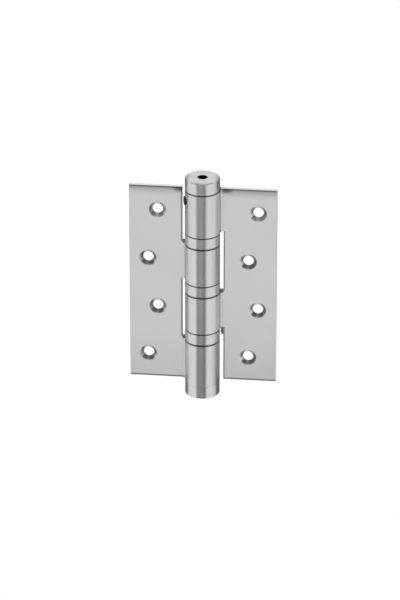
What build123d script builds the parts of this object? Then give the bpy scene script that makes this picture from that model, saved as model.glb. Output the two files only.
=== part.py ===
from build123d import *
import math
import os

# Ball bearing spring hinge for a door, 5 by 3 1/2 inches, shown lying open and flat.
# Millimetres. Z runs up the barrel, the origin is on its axis at mid height, the
# leaves spread along X, and the countersunk faces look towards -Y.

os.makedirs("parts", exist_ok=True)

# Leaves: two folded stainless sheets
leaf_height = 127.0
open_width = 89.0
sheet_thickness = 3.0
leaf_setback = 2.4
swage_radius = 1.9
swage_relief = 0.2
edge_chamfer = 0.3
roll_seam = 0.4

# Barrel
barrel_radius = 10.5
leaf_clearance = 2.0
outer_knuckle_ratio = 1.139
collar_height = 7.4
knuckle_chamfer = 0.3

# Screw holes, staggered between an outer and an inner row
screw_hole_radius = 3.2
countersink_radius = 5.15
outer_row_margin = 11.3
row_stagger = 5.8
end_hole_margin = 15.5
holes_per_leaf = 4

# Rounded keeper tab of the frame leaf beside the lowest collar
tab_height = 4.8
tab_gap = 0.6
tab_corner = 1.5

# Spindle tube, on which all four knuckles sit
spindle_wall = 1.5
running_clearance = 0.05
end_gap = 0.3

# Thrust bearings between the knuckles
cup_wall = 0.9
washer_clearance = 0.1
ball_radius = 0.75
ball_outer_gap = 0.2
balls_per_bearing = 8
ball_play = 0.02
cage_thickness = 0.8
cage_sides = 24
cage_clearance = 0.12
pocket_clearance = 0.1
lift_gap = 0.3

# Caps and the plugs that hold the spring's ends
cap_height = 8.0
cap_chamfer = 0.6
seat_chamfer = 0.15
plug_length = 15.0
plug_clearance = 0.08
nose_length = 8.0
nose_clearance = 0.08
spring_slot_clearance = 0.15
spring_slot_depth = 4.4
key_width = 5.0
key_depth = 6.0

# Lock screw of the tension cap
lock_screw_radius = 2.8
lock_screw_drop = 6.6
lock_screw_turn = 14.0
lock_screw_proud = 1.4
lock_screw_tip_gap = 0.1
lock_socket_width = 2.5
lock_socket_depth = 2.0
lock_groove_radius = 5.6
lock_groove_play = 0.3
thread_clearance = 0.05

# Bottom cap: a spigot pressed into the anchor plug
spigot_radius = 3.0
spigot_length = 5.0

# Torsion spring of square wire
wire = 2.2
spring_play = 0.55
spring_turns = 12
steps_per_turn = 10
tang_length = 5.0

# Levels worked out from the driving sizes
inner_knuckle_height = (leaf_height - 3 * collar_height) / (2 * outer_knuckle_ratio + 2)
outer_knuckle_height = inner_knuckle_height * outer_knuckle_ratio
bore_radius = barrel_radius - sheet_thickness
spindle_radius = bore_radius - running_clearance
leaf_front = leaf_setback
leaf_back = leaf_setback + sheet_thickness
notch_edge = barrel_radius + leaf_clearance
half_width = open_width / 2
top_level = leaf_height / 2
tube_bore = spindle_radius - spindle_wall
nose_radius = tube_bore - nose_clearance
tube_end = top_level - plug_length - end_gap
nose_end = top_level - plug_length - nose_length
coil_end = nose_end - end_gap - wire / 2
spring_radius = tube_bore - spring_play - wire / 2
hole_pitch = (leaf_height - 2 * end_hole_margin) / (holes_per_leaf - 1)
race_thickness = (collar_height - 2 * ball_radius) / 2
cup_bore = barrel_radius - cup_wall
ball_track_radius = cup_bore - ball_outer_gap - ball_radius
upright = (Align.CENTER, Align.CENTER, Align.MIN)


def stack_levels():
    """Low and high level of each knuckle and each collar, from the top down."""
    knuckles = []
    collars = []
    level = top_level
    heights = [outer_knuckle_height, inner_knuckle_height, inner_knuckle_height, outer_knuckle_height]
    for height in heights:
        knuckles.append((level - height, level))
        level -= height
        collars.append((level - collar_height, level))
        level -= collar_height
    return knuckles, collars[:-1]


knuckle_levels, collar_levels = stack_levels()


def ring(outer, inner, low, high):
    """Plain ring round the barrel's axis between two levels."""
    body = Pos(0, 0, low) * Cylinder(outer, high - low, align=upright)
    bore = Pos(0, 0, low) * Cylinder(inner, high - low, align=upright)
    return body - bore


def knuckle(low, high):
    """One rolled knuckle of the leaf on the +X side, with the sheet's root and open seam.

    The sheet's front face sweeps into the barrel through the swage bend, goes round the
    pin and ends in a lip against the back of its own root.
    """
    rolled = Pos(0, 0, low) * Cylinder(barrel_radius, high - low, align=upright)
    rolled = chamfer(rolled.edges().group_by(Axis.Z)[-1], knuckle_chamfer)
    rolled -= Pos(0, 0, low) * Cylinder(bore_radius, high - low, align=upright)
    root_start = math.sqrt(bore_radius**2 - leaf_front**2)
    root_back = leaf_back - swage_relief
    root = Pos((root_start + notch_edge) / 2, (leaf_front + root_back) / 2) * Rectangle(
        notch_edge - root_start, root_back - leaf_front
    )
    outline = Circle(barrel_radius) + root
    corner = outline.vertices().sort_by(Axis.Y).filter_by(
        lambda v: abs(v.Y - leaf_front) < 0.01 and v.X < notch_edge - 0.01
    )
    outline = fillet(corner, swage_radius)
    swage_low = (leaf_front - swage_radius) * barrel_radius / (barrel_radius + swage_radius)
    window = Pos(notch_edge, (swage_low + root_back) / 2) * Rectangle(
        2 * (notch_edge - root_start), root_back - swage_low
    )
    outline = (outline & window) - Circle(bore_radius)
    joined = rolled + Pos(0, 0, low) * extrude(outline, high - low)
    seam = Pos(0, root_back, low) * Box(
        barrel_radius, roll_seam, high - low, align=(Align.MIN, Align.MIN, Align.MIN)
    )
    return joined - seam


def hole_places(first_in_inner_row):
    """Screw hole centres on the leaf at +X, from the top down: the two rows take turns."""
    outer_x = half_width - outer_row_margin
    inner_x = outer_x - row_stagger
    first = hole_pitch * (holes_per_leaf - 1) / 2
    return [
        (inner_x if (index % 2 == 0) == first_in_inner_row else outer_x, first - index * hole_pitch)
        for index in range(holes_per_leaf)
    ]


def screw_hole(x, z):
    """Countersunk hole through the leaf, opening towards the front face."""
    sink_depth = countersink_radius - screw_hole_radius
    drill = Pos(x, leaf_front - 1, z) * Rot(-90, 0, 0) * Cylinder(
        screw_hole_radius, sheet_thickness + 2, align=upright
    )
    sink = Pos(x, leaf_front, z) * Rot(-90, 0, 0) * Cone(
        countersink_radius, screw_hole_radius, sink_depth, align=upright
    )
    return drill + sink


def leaf(knuckle_numbers, first_in_inner_row):
    """Folded leaf on the +X side: the plate, its own knuckles and the screw holes."""
    plate = Pos(notch_edge, leaf_front, 0) * Box(
        half_width - notch_edge, sheet_thickness, leaf_height, align=(Align.MIN, Align.MIN, Align.CENTER)
    )
    outer_edges = plate.edges().filter_by(
        lambda e: e.center().X > notch_edge + 0.01 and abs(e.center().Y - (leaf_front + leaf_back) / 2) > 0.1
    )
    plate = chamfer(outer_edges, edge_chamfer)
    body = plate
    for number in knuckle_numbers:
        low, high = knuckle_levels[number]
        body = body + knuckle(low, high)
    for x, z in hole_places(first_in_inner_row):
        body = body - screw_hole(x, z)
    return body


def keeper_tab():
    """Rounded tab that fills the slot's upper end beside the lowest collar."""
    top = knuckle_levels[2][0]
    near = math.sqrt(barrel_radius**2 - leaf_front**2) + tab_gap
    tab = Pos(near, leaf_front, top) * Box(
        notch_edge - near + edge_chamfer,
        sheet_thickness,
        tab_height,
        align=(Align.MIN, Align.MIN, Align.MAX),
    )
    corner = tab.edges().filter_by(Axis.Y).sort_by(Axis.Z)[:2].sort_by(Axis.X)[:1]
    return fillet(corner, tab_corner)


def bearing(low, high):
    """Cup, race washer, cage and balls of the thrust bearing between two levels."""
    cup = ring(barrel_radius, cup_bore, low, high - lift_gap)
    cup = cup + ring(cup_bore, bore_radius, low, low + race_thickness)
    washer = ring(cup_bore - washer_clearance, bore_radius, high - race_thickness, high)
    middle = (low + high) / 2
    cage_outline = RegularPolygon(cup_bore - cage_clearance, cage_sides)
    cage_outline -= RegularPolygon(spindle_radius + cage_clearance, cage_sides, major_radius=False)
    cage = Pos(0, 0, middle - cage_thickness / 2) * extrude(cage_outline, cage_thickness)
    pocket_width = 2 * (ball_radius + pocket_clearance)
    pocket_start = ball_track_radius - ball_radius - pocket_clearance
    balls = []
    for place in PolarLocations(0, balls_per_bearing):
        pocket = Pos(0, 0, middle) * place * Pos(pocket_start, 0, 0) * Box(
            barrel_radius, pocket_width, 2 * cage_thickness, align=(Align.MIN, Align.CENTER, Align.CENTER)
        )
        cage = cage - pocket
        balls.append(Pos(0, 0, middle) * place * Pos(ball_track_radius, 0, 0) * ball())
    return cup, washer, cage, Compound(balls)


def ball():
    """Bearing ball as a faceted round body: four cubes turned through each other."""
    size = 2 * (ball_radius - ball_play)
    cube = Box(size, size, size)
    return cube & (Rot(45, 0, 0) * cube) & (Rot(0, 45, 0) * cube) & (Rot(0, 0, 45) * cube)


def plug(stem_radius):
    """Turned plug for the top knuckle, with a slotted nose that reaches down to the spring."""
    stem = Pos(0, 0, top_level - plug_length) * Cylinder(stem_radius, plug_length, align=upright)
    nose = Pos(0, 0, nose_end) * Cylinder(nose_radius, nose_length, align=upright)
    slot = Pos(0, 0, nose_end) * Box(
        4 * nose_radius, wire + 2 * spring_slot_clearance, spring_slot_depth, align=upright
    )
    return stem + nose - slot


def tension_cap():
    """Cap with key socket, lock groove and the plug that winds the spring."""
    head = Pos(0, 0, top_level) * Cylinder(barrel_radius, cap_height, align=upright)
    head = chamfer(head.edges().group_by(Axis.Z)[-1], cap_chamfer)
    key = Pos(0, 0, top_level + cap_height - key_depth) * extrude(
        RegularPolygon(key_width / 2, 6, major_radius=False), key_depth
    )
    groove_half = lock_screw_radius + lock_groove_play
    groove_level = top_level - lock_screw_drop
    groove = ring(barrel_radius, lock_groove_radius, groove_level - groove_half, groove_level + groove_half)
    return plug(bore_radius - plug_clearance) + head - key - groove


def lock_screw_place():
    """Frame at the lock screw's inner tip, with Z pointing out of the barrel."""
    level = top_level - lock_screw_drop
    return Pos(0, 0, level) * Rot(0, 0, 180 + lock_screw_turn) * Rot(0, 90, 0)


def lock_screw():
    """Socket set screw that holds the tension cap's groove."""
    tip = lock_groove_radius + lock_screw_tip_gap
    length = barrel_radius + lock_screw_proud - tip
    shank = Pos(0, 0, tip) * Cylinder(lock_screw_radius, length, align=upright)
    socket = Pos(0, 0, tip + length - lock_socket_depth) * extrude(
        RegularPolygon(lock_socket_width / 2, 6, major_radius=False), lock_socket_depth
    )
    return lock_screw_place() * (shank - socket)


def lock_hole():
    """Threaded hole for the lock screw through the top knuckle."""
    start = bore_radius - sheet_thickness
    hole = Pos(0, 0, start) * Cylinder(lock_screw_radius + thread_clearance, 3 * sheet_thickness, align=upright)
    return lock_screw_place() * hole


def spring_anchor():
    """Plug pressed into the lowest knuckle, with the bore for the bottom cap's spigot."""
    bore = Pos(0, 0, -top_level) * Cylinder(spigot_radius, spigot_length, align=upright)
    return mirror(plug(bore_radius), Plane.XY) - bore


def bottom_cap():
    """Plain closing cap, pressed into the anchor by its spigot."""
    disc = Pos(0, 0, -top_level - cap_height) * Cylinder(barrel_radius, cap_height, align=upright)
    disc = chamfer(disc.edges().group_by(Axis.Z)[0], cap_chamfer)
    disc = chamfer(disc.edges().group_by(Axis.Z)[-1], seat_chamfer)
    spigot = Pos(0, 0, -top_level) * Cylinder(spigot_radius, spigot_length, align=upright)
    return disc + spigot


def spring_coil():
    """Square wire wound round the axis from one plug to the other."""
    inner = spring_radius - wire / 2
    outer = spring_radius + wire / 2
    run = 2 * coil_end
    steps = spring_turns * steps_per_turn

    def section(step):
        angle = 2 * math.pi * step / steps_per_turn
        level = run * (step / steps - 0.5)
        low, high = level - wire / 2, level + wire / 2
        return [
            Vector(radius * math.cos(angle), radius * math.sin(angle), z)
            for radius, z in ((inner, low), (outer, low), (outer, high), (inner, high))
        ]

    sections = [section(step) for step in range(steps + 1)]
    faces = [Face(Wire.make_polygon(sections[0])), Face(Wire.make_polygon(sections[-1]))]
    for a, b in zip(sections, sections[1:]):
        for side in range(4):
            other = (side + 1) % 4
            faces.append(Face(Wire.make_polygon([a[side], a[other], b[other]])))
            faces.append(Face(Wire.make_polygon([a[side], b[other], b[side]])))
    return Solid(Shell(faces))


def torsion_spring():
    """The coil with its two ends turned straight, each standing in a plug's slot."""
    tang = Pos(spring_radius, 0, coil_end - wire / 2) * Box(wire, wire, tang_length, align=upright)
    return spring_coil() + tang + mirror(tang, Plane.XY)


def save(name, shape):
    """Writes one piece to its own file."""
    shape.label = name
    export_step(shape, f"parts/{name}.step")


knuckle_1, knuckle_2, knuckle_3, knuckle_4 = range(4)

frame_leaf = leaf([knuckle_1, knuckle_3], False) + keeper_tab() - lock_hole()
save("frame_leaf", frame_leaf)

door_leaf = mirror(leaf([knuckle_2, knuckle_4], True), Plane.YZ)
save("door_leaf", door_leaf)

for name, (low, high) in zip(("top", "middle", "bottom"), collar_levels):
    cup, washer, cage, balls = bearing(low, high)
    save(f"{name}_bearing_cup", cup)
    save(f"{name}_race_washer", washer)
    save(f"{name}_ball_cage", cage)
    save(f"{name}_balls", balls)

spindle = ring(spindle_radius, tube_bore, -tube_end, tube_end)
save("spindle_tube", spindle)

save("tension_cap", tension_cap())
save("lock_screw", lock_screw())
save("spring_anchor", spring_anchor())
save("bottom_cap", bottom_cap())
save("torsion_spring", torsion_spring())
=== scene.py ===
import math

import bmesh
import bpy
from mathutils import Matrix, Vector


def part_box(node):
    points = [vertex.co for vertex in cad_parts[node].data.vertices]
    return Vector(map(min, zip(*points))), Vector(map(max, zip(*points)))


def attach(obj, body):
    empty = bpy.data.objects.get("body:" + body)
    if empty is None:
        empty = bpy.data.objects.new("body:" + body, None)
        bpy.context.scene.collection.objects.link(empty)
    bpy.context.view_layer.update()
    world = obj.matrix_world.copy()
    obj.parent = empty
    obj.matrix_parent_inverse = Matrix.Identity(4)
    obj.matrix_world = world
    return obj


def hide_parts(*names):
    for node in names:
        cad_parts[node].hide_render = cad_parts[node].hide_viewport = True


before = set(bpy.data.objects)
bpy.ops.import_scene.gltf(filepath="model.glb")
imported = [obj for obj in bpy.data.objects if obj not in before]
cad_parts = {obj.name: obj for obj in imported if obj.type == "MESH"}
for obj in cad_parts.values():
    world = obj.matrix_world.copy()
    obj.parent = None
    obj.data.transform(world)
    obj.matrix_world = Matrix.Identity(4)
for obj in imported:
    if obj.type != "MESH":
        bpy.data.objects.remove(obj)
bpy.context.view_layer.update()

# Camera: a long lens that looks down on the open hinge from a little to the right of its
# barrel, as the hinge is photographed. Its tilt, turn and distance come from the hinge's joints.
lens_data = bpy.data.cameras.new("long_lens")
lens_data.lens = 221.5
lens_data.sensor_width = 36.0
lens_data.clip_start = 0.05
lens_data.clip_end = 60.0
camera = bpy.data.objects.new("camera", lens_data)
bpy.context.scene.collection.objects.link(camera)
bpy.context.scene.camera = camera
camera_turn = math.radians(6.25)
camera_tilt = math.radians(64.22)
camera.rotation_euler = (camera_tilt, 0.0, camera_turn)
camera.location = Matrix.Rotation(camera_turn, 3, "Z") @ Vector((-0.0015, -2.0059, 0.9593))

# Studio: a white room round a wide pale floor, far below the hinge, so that the hinge
# stands clear on white and its steel mirrors white from every open side.
studio = bpy.data.worlds.new("white_room")
bpy.context.scene.world = studio
studio.use_nodes = True
studio.node_tree.nodes["Background"].inputs["Color"].default_value = (1.0, 1.0, 1.0, 1.0)
studio.node_tree.nodes["Background"].inputs["Strength"].default_value = 1.0
floor_level = -2.0
floor_reach = 9.0
floor_corners = [(-floor_reach, -floor_reach), (floor_reach, -floor_reach)]
floor_corners += [(floor_reach, floor_reach), (-floor_reach, floor_reach)]
floor_mesh = bpy.data.meshes.new("floor")
floor_mesh.from_pydata([(x, y, floor_level) for x, y in floor_corners], [], [(0, 1, 2, 3)])
floor = bpy.data.objects.new("floor", floor_mesh)
bpy.context.scene.collection.objects.link(floor)
floor_paper = bpy.data.materials.new("floor_paper")
floor_paper.use_nodes = True
nodes = floor_paper.node_tree.nodes
links = floor_paper.node_tree.links
paper = nodes["Principled BSDF"]
paper.inputs["Base Color"].default_value = (0.8, 0.8, 0.8, 1.0)
paper.inputs["Roughness"].default_value = 1.0
paper.inputs["Specular IOR Level"].default_value = 0.0
paper.inputs["Emission Color"].default_value = (1.0, 1.0, 1.0, 1.0)


def calc(operation, first, second=None):
    """Value socket of a Math node in the current node tree, from sockets or plain numbers."""
    node = nodes.new("ShaderNodeMath")
    node.operation = operation
    for socket, value in zip(node.inputs, (first, second)):
        if isinstance(value, float):
            socket.default_value = value
        elif value is not None:
            links.new(value, socket)
    return node.outputs["Value"]


paper_lift = 0.2
ray = nodes.new("ShaderNodeLightPath")
seen = calc("MAXIMUM", ray.outputs["Is Camera Ray"], ray.outputs["Is Glossy Ray"])
seen = calc("MAXIMUM", seen, ray.outputs["Is Transmission Ray"])
links.new(calc("MULTIPLY", seen, paper_lift), paper.inputs["Emission Strength"])
floor.data.materials.append(floor_paper)

# Studio flags: boards that stand round the hinge outside the picture and show only in its
# mirror-like steel, as the dark stripe down the barrel and its darker sides. The roof boards
# and the two brows show in the countersinks.
flag_tones = {"flag_black": 0.02, "flag_grey": 0.3, "flag_pale": 0.85}
flag_cloths = {}
for flag_name, flag_tone in flag_tones.items():
    cloth = bpy.data.materials.new(flag_name)
    cloth.use_nodes = True
    board = cloth.node_tree.nodes["Principled BSDF"]
    board.inputs["Base Color"].default_value = (flag_tone, flag_tone, flag_tone, 1.0)
    board.inputs["Roughness"].default_value = 1.0
    board.inputs["Specular IOR Level"].default_value = 0.0
    flag_cloths[flag_name] = cloth


def flag(name, cloth_name, turn_from, turn_to, near_edge, far_edge):
    """Board bent round the hinge between two turns in degrees; each edge is (reach, height)."""
    corners = []
    steps = 12
    for step in range(steps + 1):
        turn = math.radians(turn_from + (turn_to - turn_from) * step / steps)
        for reach, height in (near_edge, far_edge):
            corners.append((reach * math.sin(turn), -reach * math.cos(turn), height))
    panels = [(2 * k, 2 * k + 2, 2 * k + 3, 2 * k + 1) for k in range(steps)]
    mesh = bpy.data.meshes.new(name)
    mesh.from_pydata(corners, [], panels)
    mesh.materials.append(flag_cloths[cloth_name])
    board_object = bpy.data.objects.new(name, mesh)
    bpy.context.scene.collection.objects.link(board_object)
    board_object.visible_camera = False
    board_object.visible_diffuse = False
    board_object.visible_shadow = False


flag("front_flag", "flag_black", -36.0, 32.0, (2.4, -0.6), (2.4, 3.4))
flag("low_flag", "flag_black", -36.0, 32.0, (0.04, -0.3), (0.37, -0.3))
flag("left_wing", "flag_grey", -35.0, -19.0, (0.9, -0.8), (0.9, -0.46))
flag("right_wing", "flag_grey", 8.0, 27.0, (0.9, -0.8), (0.9, -0.46))
flag("left_flag", "flag_grey", -165.0, -104.0, (1.0, -1.9), (1.0, 0.6))
flag("right_flag", "flag_grey", 106.0, 165.0, (1.0, -1.9), (1.0, 0.6))
flag("left_roof", "flag_grey", -105.0, -42.0, (0.15, 1.6), (2.2, 1.6))
flag("middle_roof", "flag_pale", -42.0, 42.0, (0.4, 1.6), (1.25, 1.6))
flag("front_roof", "flag_grey", -42.0, 42.0, (1.25, 1.6), (2.2, 1.6))
flag("right_roof", "flag_grey", 42.0, 105.0, (0.15, 1.6), (2.2, 1.6))
flag("left_brow", "flag_black", -90.0, -62.0, (1.0, 0.3), (1.0, 0.66))
flag("right_brow", "flag_black", 52.0, 80.0, (1.0, 0.3), (1.0, 0.66))

# Satin lines: what a fine abrasive belt leaves on stainless steel, long thin scratches in
# one direction over a slow change of tone. Leaves, caps, cups and inner steel all have them.
satin = bpy.data.node_groups.new("satin_lines", "ShaderNodeTree")
satin.interface.new_socket("Line Stretch", in_out="INPUT", socket_type="NodeSocketVector")
satin.interface.new_socket("Dull Tone", in_out="INPUT", socket_type="NodeSocketColor")
satin.interface.new_socket("Bright Tone", in_out="INPUT", socket_type="NodeSocketColor")
satin.interface.new_socket("Base Color", in_out="OUTPUT", socket_type="NodeSocketColor")
satin.interface.new_socket("Lines", in_out="OUTPUT", socket_type="NodeSocketFloat")
nodes = satin.nodes
links = satin.links
asked = nodes.new("NodeGroupInput")
given = nodes.new("NodeGroupOutput")
place = nodes.new("ShaderNodeTexCoord")
stretched = nodes.new("ShaderNodeVectorMath")
stretched.operation = "MULTIPLY"
links.new(place.outputs["Object"], stretched.inputs[0])
links.new(asked.outputs["Line Stretch"], stretched.inputs[1])
scratches = nodes.new("ShaderNodeTexNoise")
scratches.inputs["Scale"].default_value = 1.0
scratches.inputs["Detail"].default_value = 3.0
links.new(stretched.outputs["Vector"], scratches.inputs["Vector"])
clouds = nodes.new("ShaderNodeTexNoise")
clouds.inputs["Scale"].default_value = 24.0
clouds.inputs["Detail"].default_value = 2.0
links.new(place.outputs["Object"], clouds.inputs["Vector"])
tone = nodes.new("ShaderNodeMix")
tone.data_type = "RGBA"
links.new(clouds.outputs["Fac"], tone.inputs["Factor"])
links.new(asked.outputs["Dull Tone"], tone.inputs["A"])
links.new(asked.outputs["Bright Tone"], tone.inputs["B"])
links.new(tone.outputs["Result"], given.inputs["Base Color"])
links.new(scratches.outputs["Fac"], given.inputs["Lines"])


def satin_lines(line_stretch, dull_tone, bright_tone):
    """Satin lines placed in the current material with its own values; gives the group's node."""
    node = nodes.new("ShaderNodeGroup")
    node.node_tree = satin
    node.inputs["Line Stretch"].default_value = line_stretch
    node.inputs["Dull Tone"].default_value = (*dull_tone, 1.0)
    node.inputs["Bright Tone"].default_value = (*bright_tone, 1.0)
    return node


# Joint shade: painted shade in a thin dark band where two pieces of the barrel meet, in the
# chamfers above and below each bearing cup and under the cap. Leaves, caps and cups show it.
joint_shade = bpy.data.node_groups.new("joint_shade", "ShaderNodeTree")
joint_shade.interface.new_socket("Base Color", in_out="INPUT", socket_type="NodeSocketColor")
joint_shade.interface.new_socket("Base Color", in_out="OUTPUT", socket_type="NodeSocketColor")
nodes = joint_shade.nodes
links = joint_shade.links
asked = nodes.new("NodeGroupInput")
given = nodes.new("NodeGroupOutput")


def place_sockets():
    """X, Y and Z sockets of a point's place on the hinge, in the current node tree."""
    point = nodes.new("ShaderNodeTexCoord")
    parts = nodes.new("ShaderNodeSeparateXYZ")
    links.new(point.outputs["Object"], parts.inputs["Vector"])
    return parts.outputs["X"], parts.outputs["Y"], parts.outputs["Z"]


def fade(value, none_at, full_at, most=1.0):
    """Value socket that eases from 0 where the value is none_at to most where it is full_at."""
    node = nodes.new("ShaderNodeMapRange")
    node.interpolation_type = "SMOOTHSTEP"
    node.inputs["From Min"].default_value = none_at
    node.inputs["From Max"].default_value = full_at
    node.inputs["To Max"].default_value = most
    links.new(value, node.inputs["Value"])
    return node.outputs["Result"]


def painted(colour, grey, amount):
    """Colour socket of a surface with a grey laid over it by an amount from 0 to 1."""
    node = nodes.new("ShaderNodeMix")
    node.data_type = "RGBA"
    node.inputs["B"].default_value = (grey, grey, grey, 1.0)
    links.new(amount, node.inputs["Factor"])
    links.new(colour, node.inputs["A"])
    return node.outputs["Result"]


joint_shade_grey = 0.03
joint_shade_strength = 0.85
joint_shade_full = 0.0002
joint_shade_gone = 0.0006
above_cup_spread = 0.0
under_cap_spread = 0.0001
under_cup_spread = 0.0002
cap_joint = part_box("frame_leaf")[1].z
joints = [(cap_joint, under_cap_spread)]
for bearing in ("top", "middle", "bottom"):
    joints.append((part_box(f"{bearing}_race_washer")[1].z, above_cup_spread))
    joints.append((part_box(f"{bearing}_bearing_cup")[0].z, under_cup_spread))
height = place_sockets()[2]
nearest = None
for joint_level, spread in joints:
    clear = calc("SUBTRACT", calc("ABSOLUTE", calc("SUBTRACT", height, joint_level)), spread)
    nearest = clear if nearest is None else calc("MINIMUM", nearest, clear)
joint_shade_amount = fade(nearest, joint_shade_gone, joint_shade_full, joint_shade_strength)
links.new(painted(asked.outputs["Base Color"], joint_shade_grey, joint_shade_amount), given.inputs["Base Color"])

# Leaves: two sheets of 3 mm stainless steel, each blanked, notched, rolled round a mandrel
# into its own knuckles and drilled for four countersunk screws. The flat plates are belted
# to a soft satin; the rolled knuckles are turned bright with the barrel.
leaf_steel = bpy.data.materials.new("leaf_steel")
leaf_steel.use_nodes = True
nodes = leaf_steel.node_tree.nodes
links = leaf_steel.node_tree.links
leaf_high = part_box("frame_leaf")[1]
leaf_top = leaf_high.z
barrel_radius = 0.0105
notch_gap = 0.002
notch_edge = barrel_radius + notch_gap
plate_front = 0.0024
sheet_thickness = 0.003
plate_back = plate_front + sheet_thickness
skin = 0.00005
x, y, z = place_sockets()
across = calc("ABSOLUTE", x)
upright = calc("MULTIPLY", z, calc("SIGN", x))

# Painted shade: a dark line along the cut edges, found from how far a point lies from its leaf's
# nearest edge.
notch_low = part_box("middle_bearing_cup")[0].z
notch_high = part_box("top_race_washer")[1].z
open_notch = -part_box("top_bearing_cup")[0].z
notch_middle = (notch_low + notch_high) / 2
from_notch_middle = calc("ABSOLUTE", calc("SUBTRACT", upright, notch_middle))
in_notch = calc("LESS_THAN", from_notch_middle, (notch_high - notch_low) / 2)
in_notch = calc("ADD", in_notch, calc("LESS_THAN", upright, open_notch))
out_of_notch = calc("SUBTRACT", 1.0, in_notch)
side_line_inset = 0.0007
bottom_line_inset = 0.0004
to_notch = calc("ADD", calc("SUBTRACT", across, notch_edge), out_of_notch)
to_side = calc("SUBTRACT", leaf_high.x + side_line_inset, across)
to_top = calc("SUBTRACT", leaf_top, z)
to_bottom = calc("ADD", leaf_top - bottom_line_inset, z)
to_edge = calc("MINIMUM", calc("MINIMUM", to_notch, to_side), calc("MINIMUM", to_top, to_bottom))
below_top = calc("LESS_THAN", z, leaf_top - skin)
edge_shade_grey = 0.06
edge_shade_full = 0.0004
edge_shade_gone = 0.0011
edge_shade_strength = 0.75
edge_shade_line = fade(to_edge, edge_shade_gone, edge_shade_full, edge_shade_strength)
edge_shade_line = calc("MULTIPLY", edge_shade_line, below_top)

# Painted dark reflection at the leaves' inner top corners.
corner_reflection_start = 0.0135
corner_reflection_length = 0.0065
corner_reflection_depth = 0.0042
corner_reflection_heart = 0.3
corner_reflection_strength = 0.75


def length_of(first, second):
    """Value socket of how far a point lies from where two value sockets are both zero."""
    squares = calc("ADD", calc("MULTIPLY", first, first), calc("MULTIPLY", second, second))
    return calc("SQRT", squares)


corner_reflection_across = calc("DIVIDE", calc("SUBTRACT", across, corner_reflection_start), corner_reflection_length)
corner_reflection_reach = length_of(corner_reflection_across, calc("DIVIDE", to_top, corner_reflection_depth))
corner_reflection = calc("MULTIPLY", fade(corner_reflection_reach, 1.0, corner_reflection_heart, corner_reflection_strength), below_top)

# Shade in the swage bend, where the sheet turns into its knuckle.
shade_grey = 0.1
bend_middle = 0.0116
bend_full = 0.0005
bend_gone = 0.0011
bend_strength = 0.14
from_axis = length_of(x, y)
from_bend = calc("ABSOLUTE", calc("SUBTRACT", from_axis, bend_middle))
bend = fade(from_bend, bend_gone, bend_full, bend_strength)

# Shade in the countersinks, deepest in their lower halves and lightest in the top two holes.
holes_start = 0.0175
rim_clearance = 0.0015
cone_mouth = plate_front + 0.0001
cone_inside = plate_front + 0.0007
cone_strength = 0.15
lower_half_strength = 0.6
top_holes_from = 0.028
top_holes_to = 0.04
top_holes_relief = -0.38
lean_gone = 0.32
lean_full = 0.5
in_cone = calc("GREATER_THAN", across, holes_start)
in_cone = calc("MULTIPLY", in_cone, calc("GREATER_THAN", to_edge, rim_clearance))
in_cone = calc("MULTIPLY", in_cone, calc("LESS_THAN", y, plate_back - skin))
in_cone = calc("MULTIPLY", in_cone, fade(y, cone_mouth, cone_inside))
facing = nodes.new("ShaderNodeSeparateXYZ")
links.new(nodes.new("ShaderNodeTexCoord").outputs["Normal"], facing.inputs["Vector"])
lower_half = calc("ADD", fade(z, top_holes_from, top_holes_to, top_holes_relief), lower_half_strength)
lower_half = calc("MULTIPLY", fade(facing.outputs["Z"], lean_gone, lean_full), lower_half)
countersunk = calc("MULTIPLY", in_cone, calc("ADD", lower_half, cone_strength))

# Painted shade: dark spots on the small ledges at the lower ends of the slots.
ledge_shade_grey = 0.03
ledge_middle = 0.0114
ledge_drop = 0.0002
ledge_full = 0.0008
ledge_gone = 0.0016
ledge_shade_strength = 0.85
ledge_reach = None
for side, bearing in ((-1.0, "top"), (1.0, "middle"), (-1.0, "bottom")):
    ledge_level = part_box(f"{bearing}_bearing_cup")[0].z
    sideways = calc("SUBTRACT", x, side * ledge_middle)
    reach = length_of(sideways, calc("SUBTRACT", z, ledge_level - ledge_drop))
    ledge_reach = reach if ledge_reach is None else calc("MINIMUM", ledge_reach, reach)
ledge_shade = fade(ledge_reach, ledge_gone, ledge_full, ledge_shade_strength)

# The plates' own finish, its top edge rolled over a little by the belt.
plate = nodes["Principled BSDF"]
plate.inputs["Metallic"].default_value = 1.0
plate.inputs["Roughness"].default_value = 0.3
plate_lines = satin_lines((1500.0, 1500.0, 30.0), (0.7, 0.7, 0.705), (0.785, 0.785, 0.785))
# Painted shade along the edges, in the bend, the countersinks and on the ledges, and a painted dark
# reflection at the inner top corners, laid over the satin colour.
plate_colour = painted(plate_lines.outputs["Base Color"], edge_shade_grey, edge_shade_line)
plate_colour = painted(plate_colour, edge_shade_grey, corner_reflection)
plate_colour = painted(plate_colour, shade_grey, bend)
plate_colour = painted(plate_colour, shade_grey, countersunk)
plate_colour = painted(plate_colour, ledge_shade_grey, ledge_shade)
links.new(plate_colour, plate.inputs["Base Color"])
roll_depth = 0.006
top_edge = nodes.new("ShaderNodeMapRange")
top_edge.inputs["From Min"].default_value = leaf_top - roll_depth
top_edge.inputs["From Max"].default_value = leaf_top
links.new(z, top_edge.inputs["Value"])
edge_roll = nodes.new("ShaderNodeBump")
edge_roll.invert = True
edge_roll.inputs["Strength"].default_value = 1.0
edge_roll.inputs["Distance"].default_value = 0.0003
links.new(calc("POWER", top_edge.outputs["Result"], 2.0), edge_roll.inputs["Height"])
belt_marks = nodes.new("ShaderNodeBump")
belt_marks.inputs["Strength"].default_value = 0.15
belt_marks.inputs["Distance"].default_value = 0.00002
links.new(plate_lines.outputs["Lines"], belt_marks.inputs["Height"])
links.new(edge_roll.outputs["Normal"], belt_marks.inputs["Normal"])
links.new(belt_marks.outputs["Normal"], plate.inputs["Normal"])


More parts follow.
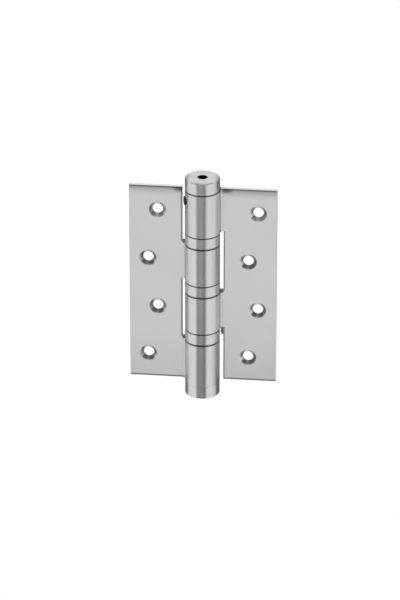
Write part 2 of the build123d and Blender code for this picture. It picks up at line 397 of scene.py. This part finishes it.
def turned_bright(shader):
    """Sets a shader to steel turned on the lathe; gives its colour socket, painted joint shade
    included.
    """
    shader.inputs["Metallic"].default_value = 1.0
    shader.inputs["Roughness"].default_value = 0.36
    shader.inputs["Anisotropic"].default_value = 0.95
    shader.inputs["Anisotropic Rotation"].default_value = 0.25
    lines = satin_lines((60.0, 60.0, 1800.0), (0.7, 0.7, 0.7), (0.79, 0.79, 0.79))
    joint_shaded = nodes.new("ShaderNodeGroup")
    joint_shaded.node_tree = joint_shade
    links.new(lines.outputs["Base Color"], joint_shaded.inputs["Base Color"])
    return joint_shaded.outputs["Base Color"]


# The knuckles' finish, with painted shade on their sides, most of all where a knuckle faces an open
# slot.
side_shade_grey = 0.12
side_gone = 0.0058
side_full = 0.0094
joined_side_strength = 0.16
slot_side_strength = 0.5
side_strength = calc("MULTIPLY", in_notch, slot_side_strength - joined_side_strength)
side_strength = calc("ADD", side_strength, joined_side_strength)
knuckle_side_shade = calc("MULTIPLY", fade(across, side_gone, side_full), side_strength)
knuckle = nodes.new("ShaderNodeBsdfPrincipled")
knuckle_colour = painted(turned_bright(knuckle), side_shade_grey, knuckle_side_shade)
knuckle_colour = painted(knuckle_colour, shade_grey, bend)
knuckle_colour = painted(knuckle_colour, ledge_shade_grey, ledge_shade)
links.new(knuckle_colour, knuckle.inputs["Base Color"])
knuckle_ends = 0.0106
plate_starts = 0.0122
leaf_finish = nodes.new("ShaderNodeMixShader")
links.new(fade(from_axis, knuckle_ends, plate_starts), leaf_finish.inputs["Fac"])
links.new(knuckle.outputs["BSDF"], leaf_finish.inputs[1])
links.new(plate.outputs["BSDF"], leaf_finish.inputs[2])
links.new(leaf_finish.outputs["Shader"], nodes["Material Output"].inputs["Surface"])
for name in ("frame_leaf", "door_leaf"):
    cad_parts[name].material_slots[0].material = leaf_steel

# Caps and bearing cups: the two end caps and the three rings between the knuckles, all
# turned from stainless bar, so their fine lines run round the barrel. Their sides carry painted
# shade, and the broached key socket in the upper cap and a thin ring round it are painted dark as
# shade.
barrel_steel = bpy.data.materials.new("barrel_steel")
barrel_steel.use_nodes = True
nodes = barrel_steel.node_tree.nodes
links = barrel_steel.node_tree.links
turned = nodes["Principled BSDF"]
socket_shade_grey = 0.008
socket_inside = 0.0029
socket_outside = 0.0034
socket_bottom = cap_joint + 0.0005
ring_side_gone = 0.0066
ring_side_full = 0.01
ring_side_strength = 0.45
x, y, z = place_sockets()
# Painted shade in the key socket and in a thin ring round it on the cap's top.
key_socket_shade = fade(length_of(x, y), socket_outside, socket_inside)
key_socket_shade = calc("MULTIPLY", key_socket_shade, calc("GREATER_THAN", z, socket_bottom))
# Painted shade on the sides of the caps and cups.
ring_side_shade = fade(calc("ABSOLUTE", x), ring_side_gone, ring_side_full, ring_side_strength)
turned_colour = painted(turned_bright(turned), side_shade_grey, ring_side_shade)
links.new(painted(turned_colour, socket_shade_grey, key_socket_shade), turned.inputs["Base Color"])
for name in ("tension_cap", "bottom_cap"):
    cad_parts[name].material_slots[0].material = barrel_steel
for bearing in ("top", "middle", "bottom"):
    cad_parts[f"{bearing}_bearing_cup"].material_slots[0].material = barrel_steel

# Lock screw: a short hardened set screw, blackened in hot oxide. It is screwed through the
# side of the top knuckle until its tip stands in the groove of the tension cap's plug, and
# its socket faces out through the slot beside the knuckle.
screw_tip = 0.0057
screw_head = 0.0112
screw_radius = 0.0028
screw_rim = 0.0003
screw_level = 0.0569
screw_turn = math.radians(194.0)
tip_bevel = 0.001
thread_start = screw_tip + tip_bevel + 0.0004
thread_end = screw_head - 0.0016
thread_pitch = 0.0008
thread_depth = 0.0003
socket_flat = 0.00125
socket_depth = 0.002
socket_point = 0.0005
screw_steps = 24
weld_distance = 0.000001
profile = [(0.0, screw_tip), (screw_radius - tip_bevel, screw_tip)]
profile.append((screw_radius, screw_tip + tip_bevel))
level = thread_start
while level < thread_end:
    profile += [(screw_radius, level), (screw_radius - thread_depth, level + thread_pitch / 2)]
    level += thread_pitch
profile += [(screw_radius, level), (screw_radius, screw_head - screw_rim)]
profile.append((screw_radius - screw_rim, screw_head))
turns = [2 * math.pi * k / screw_steps for k in range(screw_steps)]
screw_points = []
for radius, level in profile:
    screw_points += [(radius * math.cos(turn), radius * math.sin(turn), level) for turn in turns]
for level in (screw_head, screw_head - socket_depth):
    for turn in turns:
        off_flat = (turn + math.pi / 6) % (math.pi / 3) - math.pi / 6
        reach = socket_flat / math.cos(off_flat)
        screw_points.append((reach * math.cos(turn), reach * math.sin(turn), level))
screw_points += [(0.0, 0.0, screw_head - socket_depth - socket_point)] * screw_steps
screw_faces = []
for start in range(0, len(screw_points) - screw_steps, screw_steps):
    for k in range(screw_steps):
        beside = (k + 1) % screw_steps
        above = start + screw_steps
        screw_faces.append((start + k, start + beside, above + beside, above + k))
screw_mesh = bpy.data.meshes.new("lock_screw_threaded")
screw_mesh.from_pydata(screw_points, [], screw_faces)
shaping = bmesh.new()
shaping.from_mesh(screw_mesh)
bmesh.ops.remove_doubles(shaping, verts=shaping.verts, dist=weld_distance)
bmesh.ops.recalc_face_normals(shaping, faces=shaping.faces)
shaping.to_mesh(screw_mesh)
shaping.free()
screw = bpy.data.objects.new("lock_screw_threaded", screw_mesh)
bpy.context.scene.collection.objects.link(screw)
screw.location = (0.0, 0.0, screw_level)
screw.rotation_euler = (0.0, math.radians(90.0), screw_turn)


def satin_metal(name, metallic, roughness, line_stretch, dull_tone, bright_tone):
    """Metal of one shader whose colour comes from its satin lines."""
    global nodes, links
    metal = bpy.data.materials.new(name)
    metal.use_nodes = True
    nodes = metal.node_tree.nodes
    links = metal.node_tree.links
    shader = nodes["Principled BSDF"]
    shader.inputs["Metallic"].default_value = metallic
    shader.inputs["Roughness"].default_value = roughness
    lines = satin_lines(line_stretch, dull_tone, bright_tone)
    links.new(lines.outputs["Base Color"], shader.inputs["Base Color"])
    return metal


oxide_stretch = (700.0, 700.0, 700.0)
oxide_dull = (0.02, 0.02, 0.022)
oxide_bright = (0.05, 0.05, 0.052)
screw_black = satin_metal("screw_black", 0.7, 0.4, oxide_stretch, oxide_dull, oxide_bright)
screw_mesh.materials.append(screw_black)
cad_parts["lock_screw"].material_slots[0].material = screw_black
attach(screw, "frame_side")
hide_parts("lock_screw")

# Inner steel: the drawn spindle tube, the spring's anchor, the hardened race washers and
# the bearing balls, all out of sight inside the barrel.
drawn_stretch = (900.0, 900.0, 60.0)
drawn_dull = (0.46, 0.46, 0.47)
drawn_bright = (0.56, 0.56, 0.57)
inner_steel = satin_metal("inner_steel", 1.0, 0.3, drawn_stretch, drawn_dull, drawn_bright)
for name in ("spindle_tube", "spring_anchor"):
    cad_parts[name].material_slots[0].material = inner_steel
for bearing in ("top", "middle", "bottom"):
    for piece in ("race_washer", "balls"):
        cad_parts[f"{bearing}_{piece}"].material_slots[0].material = inner_steel

# Torsion spring: square spring wire, oil tempered to a dark grey, coiled inside the tube
# with one tang in the tension cap and one in the anchor.
wire_stretch = (300.0, 300.0, 1500.0)
wire_dull = (0.09, 0.09, 0.1)
wire_bright = (0.16, 0.155, 0.16)
spring_wire = satin_metal("spring_wire", 1.0, 0.32, wire_stretch, wire_dull, wire_bright)
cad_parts["torsion_spring"].material_slots[0].material = spring_wire

# Ball cages: thin brass rings stamped with eight open pockets, one in each bearing cup.
# Their brass wavers at random between a brown tone and a bright one.
cage_stretch = (800.0, 800.0, 800.0)
cage_dull = (0.42, 0.27, 0.1)
cage_bright = (0.66, 0.47, 0.19)
cage_brass = satin_metal("cage_brass", 1.0, 0.35, cage_stretch, cage_dull, cage_bright)
for bearing in ("top", "middle", "bottom"):
    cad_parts[f"{bearing}_ball_cage"].material_slots[0].material = cage_brass

bpy.context.scene.view_settings.view_transform = "Standard"
